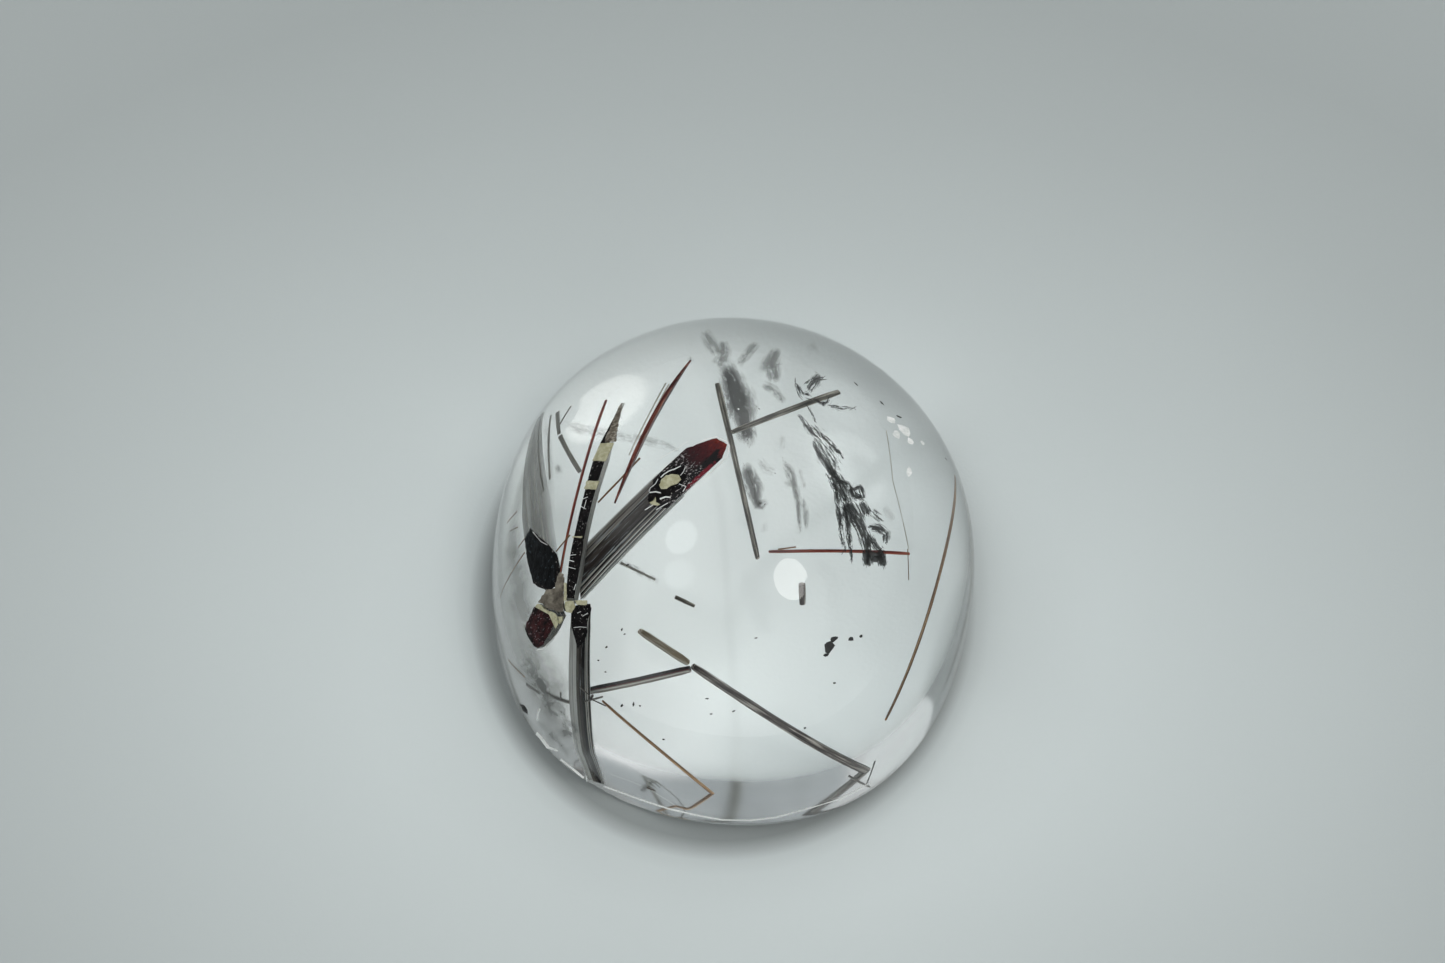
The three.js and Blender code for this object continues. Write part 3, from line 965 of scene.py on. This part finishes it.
# Veils in focus, higher up
CRISP_VEILS = [
    (0.55, [(796, 381, 2, 6.5), (802, 397, 2.5, 6.5)]),
    (0.7, [(818, 373, 1.5, 6.5), (814, 382, 5, 6.5), (808, 392, 2, 6.5)]),
    (0.6, [(806, 383, 1.5, 6.5), (815, 380, 3, 6.5), (824, 378, 1.5, 6.5)]),
    (0.5, [(803, 394, 2.5, 6.4), (810, 396, 2.5, 6.4)]),
    (0.6, [(816, 401, 1.5, 6), (826, 404, 2.5, 6), (829, 400, 2, 6), (828, 395, 1.5, 6)]),
    (0.5, [(830, 406, 1.5, 6), (841, 409, 2, 6), (855, 408, 1, 6)]),
    (0.35, [(807, 405, 1.5, 6), (815, 421, 1, 6)]),
    (0.7, [(799, 415, 1, 5.6), (808, 428, 2.5, 5.5), (814, 435, 2, 5.5)]),
    (0.5, [(809, 427, 4, 5.4), (822, 438, 6, 5.2)]),
    (0.7, [(821, 434, 2, 5.2), (833, 446, 2, 5), (843, 457, 1, 5)]),
    (0.6, [(816, 441, 4, 5), (827, 456, 7, 4.7), (837, 470, 6, 4.4)]),
    (1.0, [(813, 444, 1.5, 5), (829, 470, 2, 4.4), (837, 480, 2.5, 4.1)]),
    (1.15, [(830, 466, 3, 4.3), (838, 482, 4.5, 3.9), (843, 494, 6, 3.5), (846, 503, 5, 3.2)]),
    (0.85, [(837, 480, 2, 4), (848, 485, 3, 3.5), (855, 496, 3, 3), (863, 500, 2, 2.8)]),
    (1.15, [(845, 499, 3.5, 3.3), (853.5, 511, 5, 2.7), (860, 525, 4.5, 2), (865.6, 539, 4.5, 1.4),
        (869, 553, 4, 0.9)]),
    (0.75, [(842, 503, 4, 3.4), (848, 516, 6, 2.8), (856, 527, 5, 2.3)]),
    (0.6, [(827, 474, 1.5, 4.4), (836, 492, 2, 3.9), (841.5, 534, 2, 2.4), (845, 551, 1.5, 1.8)]),
    (0.6, [(837, 506, 2, 3.4), (842, 528, 2, 2.6)]),
    (0.85, [(844.5, 508, 2.5, 3.2), (848, 527, 2.5, 2.5), (852, 562, 1, 1.4)]),
    (0.7, [(849, 491, 1.5, 3.3), (860, 487, 2, 3), (864, 497, 2, 2.8), (855, 498, 1.5, 3)]),
    (1.0, [(861, 502, 3, 2.6), (868, 515, 4, 2.2)]),
    (0.5, [(871, 511, 4, 2), (882, 522, 4, 1.7)]),
    (0.95, [(869, 527, 2, 1.6), (879, 528, 3.5, 1.4), (886, 534, 3.5, 1.2), (886, 543, 2, 1.1)]),
    (0.95, [(870, 536, 2.5, 1.4), (876, 547, 3, 1.1), (883, 552, 2.5, 0.9)]),
    (1.5, [(865.5, 550, 3, 0.9), (869, 566, 3.5, 0.7)]),
    (1.5, [(880, 551, 3, 0.9), (883.5, 566, 3.5, 0.7)]),
    (1.5, [(866, 556, 3.5, 0.8), (884, 557, 3.5, 0.8)]),
]
# A thin haze near the left rim, dust that also stands in for painted shade along the rim
HAZE_AND_RIM_SHADE = [
    (0.8, [(514, 520, 14, 0.8), (514, 560, 18, 1), (519, 600, 22, 1.2), (532, 650, 26, 1.4),
        (550, 692, 26, 1.4), (572, 722, 16, 1.2)]),
    (0.35, [(553, 655, 18, 2.5), (556, 680, 19, 2.5), (562, 705, 16, 2), (570, 728, 12, 1.6)]),
    (0.45, [(540, 706, 12, 1), (552, 722, 14, 1), (566, 742, 10, 1)]),
    (0.5, [(556, 586, 9, 0.8), (555, 602, 10, 0.8), (557, 618, 6, 0.8)]),
    (0.5, [(547, 415, 4, 1), (548, 450, 6, 1.4), (549, 490, 7, 1.6), (551, 530, 7, 1)]),
    (0.6, [(883, 507, 4, 2), (889, 514, 6, 1.9), (894, 521, 4, 1.8)]),
    (0.6, [(508, 660, 3, 0.8), (517, 670, 3, 0.9), (528, 683, 3, 1)]),
    (0.7, [(541, 430, 4, 0.6), (527, 470, 6, 0.7), (514, 520, 9, 0.7), (509, 575, 8, 0.6)]),
]
# The mottled dust low on the left
MOTTLED = [
    (0.85, [(517, 652, 9, 0.6), (532, 674, 13, 0.6), (548, 702, 15, 0.6), (566, 728, 13, 0.6),
        (580, 746, 8, 0.6)]),
    (0.7, [(536, 716, 7, 0.4), (552, 738, 8, 0.4), (572, 757, 7, 0.4)]),
]
VEIL_LINES = 7  # lines of points across a veil
VEIL_STEP = 3  # pixels between its stations
RUN_STEP = 2  # pixels to each side that its direction is taken from
VEIL_BOW = 0.25  # how much deeper one side of it lies
VEIL_FADE = 6  # how steeply it fades in and out along its length
VEIL_END = 0.15  # how much of it is left at its very ends
VEIL_APART = 40  # keeps the patches of two veils from being alike


def widened(table, by):
    return [
        (strength, [(x, y, width * by, depth) for x, y, width, depth in rows])
        for strength, rows in table
    ]


def stations(rows, step):
    """Points at even steps along a line through (x, y, ...) rows, each with the direction across it."""
    reach = [0]
    for before, after in zip(rows, rows[1:]):
        reach.append(reach[-1] + math.dist(before[:2], after[:2]))
    table = [(way, *row) for way, row in zip(reach, rows)]
    count = max(2, round(reach[-1] / step))
    for i in range(count + 1):
        way = reach[-1] * i / count
        before, after = between(table, way - RUN_STEP), between(table, way + RUN_STEP)
        run = Vector((after[0] - before[0], after[1] - before[1])).normalized()
        yield way, way / reach[-1], between(table, way), Vector((-run.y, run.x))


def veil(name, table, look, slot):
    """Sheets of crystal dust, each a ribbon that is densest along its middle."""
    dice = random.Random(name)
    points, faces, flow = [], [], []
    for strength, rows in table:
        first = len(points)
        apart = dice.uniform(0, VEIL_APART)
        for way, share, (x, y, width, depth), side in stations(rows, VEIL_STEP):
            fade = min(1, VEIL_FADE * share + VEIL_END, VEIL_FADE * (1 - share) + VEIL_END)
            for k in range(VEIL_LINES):
                across = 2 * k / (VEIL_LINES - 1) - 1
                pixel = Vector((x, y)) + side * (across * width)
                points.append(under(pixel, depth + VEIL_BOW * across))
                dense = strength * fade * (1 - across ** 2)
                flow.append((way * PIXEL + apart, across * width * PIXEL, dense))
        for row in range((len(points) - first) // VEIL_LINES - 1):
            for k in range(VEIL_LINES - 1):
                corner = first + row * VEIL_LINES + k
                faces.append((corner, corner + 1, corner + VEIL_LINES + 1, corner + VEIL_LINES))
    made = add_part(name, points, faces, look, slot)
    smooth(made)
    attribute = made.data.attributes.new("flow", "FLOAT_VECTOR", "POINT")
    attribute.data.foreach_set("vector", [value for place in flow for value in place])


def flecks(name, table, per_mm, size, slim=(0.12, 0.5), astray=0.0):
    """Black flakes along veils, about so many in a millimetre of a full one."""
    made = Collected(name)
    dice = made.dice
    for strength, rows in table:
        for way, share, (x, y, width, depth), side in stations(rows, 1 / (PIXEL * per_mm * strength)):
            place = Vector((x, y)) + side * width * dice.triangular(-0.9, 0.9, 0)
            ahead = place + Vector((side.y, -side.x))
            middle = under(place, depth + dice.uniform(-0.3, 0.3))
            along = under(ahead, depth) - under(place, depth)
            along.x += along.length * dice.uniform(-astray, astray)
            facing = Vector((dice.uniform(-1, 1), dice.uniform(-1, 1), 1.5)).normalized()
            made.flake(middle, facing, along, size * dice.uniform(0.4, 1.2), dice.uniform(*slim))
    made.finished("fleck_black", "black_blade")


veil("deep_veils", widened(SOFT_VEILS, by=1.6), "soft_veil", "grey_crystal")
# the haze also darkens the left rim as painted shade
veil("haze", HAZE_AND_RIM_SHADE, "haze_and_shade_veil", "grey_crystal")
veil("mottled_dust", MOTTLED, "mottled_veil", "grey_crystal")
veil("near_veils", widened(CRISP_VEILS, by=1.75), "crisp_veil", "black_blade")
flecks("deep_flecks", SOFT_VEILS[7:12], per_mm=9, size=0.05)
flecks("near_flecks", CRISP_VEILS[6:], per_mm=14, size=0.085)
flecks("near_fibres", widened(CRISP_VEILS, by=1.5), per_mm=13, size=0.26, slim=(0.05, 0.1), astray=0.4)


# Small rods and hairs: ends as pixels, width in pixels, depth at each end

SMALL_RODS = {
    "small_grey_rods": ("grey_rod", "grey_crystal", [(675.4, 597, 694.3, 606, 4.2, 2.2, 2.6)]),
    "deep_rods": ("deep_rod", "grey_crystal", [
        (560, 436, 580, 472, 4.6, 2.5, 5), (621, 563, 655, 579.5, 2.2, 5, 6.5),
        (557.5, 412, 559, 434, 5.2, 1.6, 2.4), (571, 406, 560, 424, 2.6, 1.5, 2),
        (551, 415, 550, 479, 3.0, 0.8, 1.8), (542.5, 412, 543.6, 491, 2.0, 0.8, 1.8),
    ]),
    "small_pale_rods": ("pale_rod", "grey_crystal", [
        (666, 383, 629, 455, 1.4, 3, 5), (669, 384, 633, 455, 1.2, 3, 5),
        (886.2, 430.5, 893, 482, 0.8, 2.5, 2), (893, 482, 903.4, 523.4, 0.8, 2, 1.7),
        (903.4, 523.4, 908.6, 549, 1, 1.7, 1.5),
    ]),
    "small_dark_rods": ("dark_rod", "black_blade", [
        (526.5, 684, 539.5, 692.6, 4.6, 1.2, 1.4), (541, 689, 556, 698, 4.4, 1.4, 1.8),
        (555, 697.5, 570, 702.5, 4, 1.8, 2), (520.5, 705, 527.5, 713, 6.5, 0.6, 0.6),
        (560.7, 692, 560.7, 698, 2, 1.7, 1.7), (648, 783, 656, 790, 1.8, 0.3, 0.3),
        (652, 781, 660, 788.5, 1.6, 0.3, 0.3), (646, 790, 655, 793, 2, 0.3, 0.3),
        (849, 776, 870, 787, 3, 0.8, 0.8), (874.8, 761.5, 866.5, 784, 2.2, 0.6, 0.9),
        (562.5, 599, 565, 611, 2.6, 0.3, 0.3), (802, 584, 802.5, 604, 7.5, 5.2, 5.6),
        (584.7, 701.5, 602.7, 696.7, 2.6, 0.1, 0.1), (579.5, 686.5, 590, 696, 1.6, 0.1, 0.1),
        (606, 706, 591, 699, 1.6, 0.1, 0.1), (591, 699, 593, 695, 3.4, 0.1, 0.1),
    ]),
    "fine_brown_needles": ("brown_rod", "red_crystal", [
        (508.4, 660, 525, 677, 2.8, 1.2, 1.6), (640, 458, 619, 480.6, 2.2, 1.2, 1.4),
        (619, 480.6, 598, 502.5, 2, 1.4, 1.6), (570, 535, 556, 551.5, 1.6, 0.8, 0.9),
        (525, 552, 503, 589, 1.5, 0.8, 1), (503, 589, 500, 598, 1.4, 1, 1),
        (525, 538, 518, 548, 1.5, 0.6, 0.8), (517, 511.5, 507, 523, 1.6, 0.8, 1),
        (518, 527, 510, 531, 1.2, 0.8, 0.8), (907.7, 549, 908.6, 580, 1.1, 1.5, 1.3),
        (778, 549.5, 796, 547, 1.6, 2.5, 2.5),
    ]),
}
for name, (look, slot, rows) in SMALL_RODS.items():
    made = Collected(name)
    for x, y, x_end, y_end, width, depth, depth_end in rows:
        start, end = under((x, y), depth), under((x_end, y_end), depth_end)
        made.rod(start, end, width * PIXEL, sides=8, taper=0.15)
    made.finished(look, slot)


# Specks and bright flakes: pixel, depth, half length in pixels, slimness, turn in degrees

SPECKS = [
    (856, 384, 1.5, 3.2, 0.35, -50), (882, 403, 1.5, 3.8, 0.4, -45), (899, 416.7, 1.2, 4.2, 0.35, 0),
    (946, 459, 1, 3.4, 0.3, -10), (834, 639, 2.5, 5, 0.6, 30), (829, 647, 2.5, 8, 0.65, 70),
    (826, 655, 2.5, 3, 0.7, 0), (851, 639, 2.5, 3.6, 0.7, 20), (861, 636, 2.5, 2.2, 0.8, 0),
    (834.6, 683, 2, 1.6, 0.8, 0), (756, 638, 2, 1.6, 0.5, 10), (734, 711, 2, 2.4, 0.4, 30),
    (706.8, 698.6, 2, 2, 0.5, 0), (606.4, 647, 1.5, 1.8, 0.6, 40), (621.8, 629.6, 1.5, 2, 0.5, 70),
    (624.7, 634, 1.5, 1.6, 0.5, 20), (598.3, 660.4, 1, 1.5, 0.6, 0), (605.6, 672, 1.5, 1.4, 0.6, 0),
    (621.8, 705.9, 1.5, 2.4, 0.5, 60), (633.5, 704.4, 1.5, 3, 0.4, 80), (640, 706, 1.5, 1.6, 0.6, 0),
    (663.6, 739.6, 1.5, 1.8, 0.6, 0), (627.7, 564.8, 3, 2, 0.5, 30), (805, 728, 1.5, 1.6, 0.8, 0),
    (711, 714, 2, 1.8, 0.5, 0),
]
BRIGHT_FLAKES = [
    (891.4, 420, 0.8, 6, 0.9, 0), (896.5, 434, 0.8, 7, 0.9, 30), (905, 430.5, 0.8, 10, 0.9, 0),
    (910.5, 441, 0.8, 5, 0.9, 0), (922.5, 442.6, 0.8, 4, 0.8, 0), (909.4, 472, 1.2, 6, 0.8, 60),
    (839, 540, 2.4, 1, 0.8, 0), (830, 476, 3, 1, 0.8, 0), (738.5, 409, 8, 0.9, 0.8, 0),
    (674, 766, 1, 1.6, 0.5, -40),
]


def toward_eye(pixel):
    return -bent(sight(pixel), on_surface(pixel))


def toward_lamp(pixel):
    """Half way between the lamp's light in the quartz and the line of sight, so that a flake flashes."""
    return (toward_eye(pixel) - bent(-direction(*LAMP), on_surface(pixel))).normalized()


def scattered(name, table, look, slot, facing):
    made = Collected(name)
    for x, y, depth, length, slim, turn in table:
        run = Vector((math.cos(math.radians(turn)), math.sin(math.radians(turn)), 0))
        made.flake(under((x, y), depth), facing((x, y)), run, length * PIXEL, slim, thickness=0.03)
    made.finished(look, slot)


scattered("specks", SPECKS, "fleck_black", "black_blade", toward_eye)
scattered("silver_flakes", BRIGHT_FLAKES, "silver_flake", "grey_crystal", toward_lamp)


# Painted highlights: white rods along the blades' edges and lines on the polished surface, standing for
# reflections

EDGE_STATIONS = 40  # places along an edge, to find where it comes into the stone
PAINTED_GLINT_RISE = 0.03  # how far the middle of a bright line is over the surface
# Painted highlights along the blades' edges: blade, across and up in its own section, from and to along it,
# width in pixels
PAINTED_EDGE_HIGHLIGHTS = [
    ("broad_blade", 0.93, -0.4, 3.4, 13.9, 1.6), ("broad_blade", 0.94, -2.3, 6.5, 13.8, 1.6),
    ("broad_blade", -0.97, -1.2, 4.6, 12.9, 1.1), ("lower_blade", -0.58, -0.6, 1.5, 14.0, 1.0),
    ("lower_blade", 0.62, -0.7, 2.5, 14.0, 1.0),
]
# Painted highlight lines on the surface: width in pixels, then the pixels along it
PAINTED_GLINT_LINES = [
    (0.9, [(692, 446.5), (703.5, 440), (716.5, 436.7), (727, 441.5)]),
    (1.6, [(727, 441.5), (729.3, 446.5), (728.5, 452)]),
    (1.1, [(728.5, 452), (727.5, 457), (712.7, 471), (695, 484.5)]),
    (1.1, [(680.9, 466), (675, 469), (669, 471), (664, 474.3), (660.7, 477.5)]),
    (0.6, [(685.4, 467), (683.5, 472), (680.4, 475.5)]),
    (1.3, [(649.7, 492.5), (655.5, 491.8), (660.7, 493)]),
    (1.5, [(660, 499), (665.3, 497), (670.5, 497.5)]),
    (0.6, [(649, 491.8), (650.3, 488), (655.5, 484), (658, 479)]),
    (0.7, [(679, 484), (686, 486.5), (682.8, 491.8)]), (1.0, [(645, 510), (653, 505)]),
    (0.8, [(656, 510), (668, 503)]), (0.6, [(659.4, 459), (679, 447.6), (688, 441)]),
    (0.6, [(574, 627.6), (580, 626.8), (586.5, 627.4)]), (0.6, [(577.5, 613), (581, 611.5)]),
    (0.6, [(583, 616), (588, 613)]), (0.6, [(583, 499), (588, 497)]), (0.6, [(580, 506), (586, 509)]),
    (0.6, [(586.5, 500), (584, 509)]), (0.6, [(569.3, 555.5), (576, 554.6)]),
    (0.9, [(569, 560), (574, 561.5)]), (0.6, [(566.4, 566.5), (575.6, 569)]),
    (0.6, [(576, 520), (578.5, 510)]), (0.6, [(574, 590), (576, 584)]),
    (0.7, [(561, 630), (552, 640), (543, 649), (537, 650)]),
    (0.6, [(533, 532), (541, 541.5), (547.5, 545)]), (4.0, [(537.5, 733), (543, 739), (549, 747)]),
    (3.0, [(547, 746.5), (557, 750)]), (1.8, [(540, 709), (538, 714), (537.5, 719.5)]),
    (2.2, [(561, 759), (572, 767.5), (584, 777.5)]),
    (1.5, [(604, 786), (640, 799), (667, 808), (700, 815.5), (722, 819.5), (750, 820), (776, 817),
        (805, 809), (838, 799), (869, 783)]),
]


# white rods that stand for reflections: painted highlights
def bright_edges():
    made = Collected("bright_edges")
    for name, across, up, first, last, width in PAINTED_EDGE_HIGHLIGHTS:
        start, end, down = [BLADES[name][key] for key in ("start", "end", "down")]
        directions = own_frame(start, end, down)
        edge = Vector(start) + across * directions[1] + up * directions[2]
        ways = [first + (last - first) * i / EDGE_STATIONS for i in range(EDGE_STATIONS + 1)]
        inner = min(way for way in ways if outwardness(edge + way * directions[0]) < 0)
        made.rod(edge + inner * directions[0], edge + last * directions[0], width * PIXEL)
    for width, line in PAINTED_GLINT_LINES:
        for before, after in zip(line, line[1:]):
            made.rod(under(before, -PAINTED_GLINT_RISE), under(after, -PAINTED_GLINT_RISE), width * PIXEL)
    made.finished("painted_glint", "grey_crystal")


bright_edges()


# Cream filling, and the cut ends that it surrounds: plates in the surface, with their outlines as pixels

INLAY_DEPTH = 0.2
INLAY_BEVEL = 0.02
LEVEL_SHARES = (0.94, 0.6, 0.25)  # how far out the rings of its upper side are
OUTLINE_STEP = 2.2
CUT_LIFT = 0.02
# How far it stands over the surface, and its outline
CREAM_FILLINGS = {
    "in_broad": (0.045, [
        (662, 478.8), (666, 475.6), (672.4, 474.3), (679, 475), (681, 480), (677.6, 483.4), (671, 486),
        (667, 489), (661.4, 489), (659.4, 485.3),
    ]),
    "in_broad_low": (0.045, [
        (655.5, 497), (656, 502), (660, 504.2), (657.5, 506), (651.6, 504.4), (649.7, 502.5), (653.6, 501),
    ]),
    "band_upper": (0.04, [(600.3, 443.4), (614.4, 442.7), (605.2, 461.6), (592.6, 461)]),
    "band_lower": (0.04, [(587, 481), (599.6, 481), (596, 490), (584, 489)]),
    "band_line_upper": (0.04, [(572.4, 536), (582.6, 536.5), (582.6, 538), (572.4, 537.6)]),
    "junction": (0.035, [(564.5, 601), (573, 601), (575, 607), (572, 613), (566, 612)]),
    "junction_right": (0.035, [(574.5, 600.5), (587, 600.5), (587, 605), (577, 604.6)]),
    "corner_rim": (0.045, [
        (535.5, 606.5), (538, 603.8), (541.2, 604.2), (544, 608.8), (549, 611), (555, 612.8), (557.2, 617),
        (558.5, 622.5), (556, 629), (555.3, 622), (554.8, 617.2), (549, 613), (543.4, 611), (540.8, 606.8),
    ]),
    "corner_patch": (0.04, [(558.5, 617), (562.5, 616), (562, 621), (559.5, 624)]),
    "left_of_bands": (0.035, [(564.4, 583), (566.4, 583), (566.6, 601), (564, 601)]),
}
# Its look, and its outline
CUT_ENDS = {
    "broad_pits": ("pitted", [
        (648, 500), (650, 488), (656, 479), (668, 468), (680, 464), (686, 467), (686, 478), (682, 486),
        (672, 494), (664, 500), (655, 508),
    ]),
    "band_tip": ("tip_grey", [
        (620.6, 404), (622, 404), (618.5, 420), (615.8, 442), (604.8, 441.5), (612.5, 421),
    ]),
    "lower_end": ("pitted", [
        (575, 607), (577.6, 604.8), (588, 605.5), (591, 606.8), (590.6, 613), (588, 618.5), (586.7, 627.6),
        (587, 633), (583.5, 642), (578.3, 648.4), (577, 643), (573.7, 629), (572.4, 618.5), (573.7, 610.7),
    ]),
    "rim_spot": ("black_cut", [(520, 704.5), (523, 704.5), (527.5, 711), (528, 713.5), (524.5, 712.5)]),
    "left_end": ("blue_black", [
        (530.2, 528), (534, 532), (538, 534.6), (542.5, 541), (547.7, 544.3), (551.6, 549.5), (555, 554.7),
        (556.2, 565), (556.8, 573), (555, 579.5), (554, 586), (549, 589), (544.5, 587), (538.6, 583.4),
        (532.8, 581.4), (531.5, 575.6), (529.5, 569), (527, 557.3), (525.6, 547), (525.3, 537.8),
        (528, 531.3),
    ]),
    "corner_end": ("red_cut", [
        (535.4, 606.8), (538, 605.5), (541, 606.8), (542.5, 610.7), (547, 613.3), (553, 614),
        (555.5, 617.2), (555, 622.4), (551.6, 629), (547.7, 636.7), (543.8, 644.5), (537.3, 648.4),
        (534, 646.4), (529.5, 635.4), (525.6, 630), (526.3, 623.7), (530.8, 614.6),
    ]),
    "corner_grey": ("join_grey", [
        (546, 590.5), (555, 587), (557.5, 576), (560, 571), (564, 574), (564, 600), (562.5, 612),
        (557, 612), (552, 610), (546, 607.5), (541, 603), (538, 603), (541, 598),
    ]),
}


def ragged_outline(corners, dice, ragged):
    """A closed outline through pixels, with an uneven edge."""
    outline = []
    for corner, following in zip(corners, corners[1:] + corners[:1]):
        corner, following = Vector(corner), Vector(following)
        count = max(1, round((following - corner).length / OUTLINE_STEP))
        for i in range(count):
            loose = Vector((dice.uniform(-ragged, ragged), dice.uniform(-ragged, ragged)))
            outline.append(corner.lerp(following, i / count) + loose)
    return outline


def inlay(name, corners, look, lift, ragged):
    """A closed plate let into the polished surface, level with it but for the lift."""
    outline = ragged_outline(corners, random.Random(name), ragged)
    middle = sum(outline, Vector((0, 0))) / len(outline)
    levels = [(0.85, -INLAY_DEPTH), (1, lift - INLAY_BEVEL), *[(share, lift) for share in LEVEL_SHARES]]
    rings = []
    for share, rise in levels:
        surface = [on_surface(middle.lerp(corner, share)) for corner in outline]
        rings.append([point + rise * outward(point) for point in surface])
    made = new_object(name, *loft(rings))
    made.data.materials.append(LOOKS[look])
    return made


def join(name, slot, pieces):
    """Several meshes as one piece that keeps each one's material."""
    with bpy.context.temp_override(active_object=pieces[0], selected_editable_objects=pieces):
        bpy.ops.object.join()
    pieces[0].name = name
    settle(pieces[0], slot)


join("cream_filling", "grey_crystal", [
    inlay(name, corners, "cream", lift, ragged=0.4) for name, (lift, corners) in CREAM_FILLINGS.items()])
join("cut_ends", "black_blade", [
    inlay(name, corners, look, CUT_LIFT, ragged=0.7) for name, (look, corners) in CUT_ENDS.items()])


bpy.data.objects.remove(cutter)
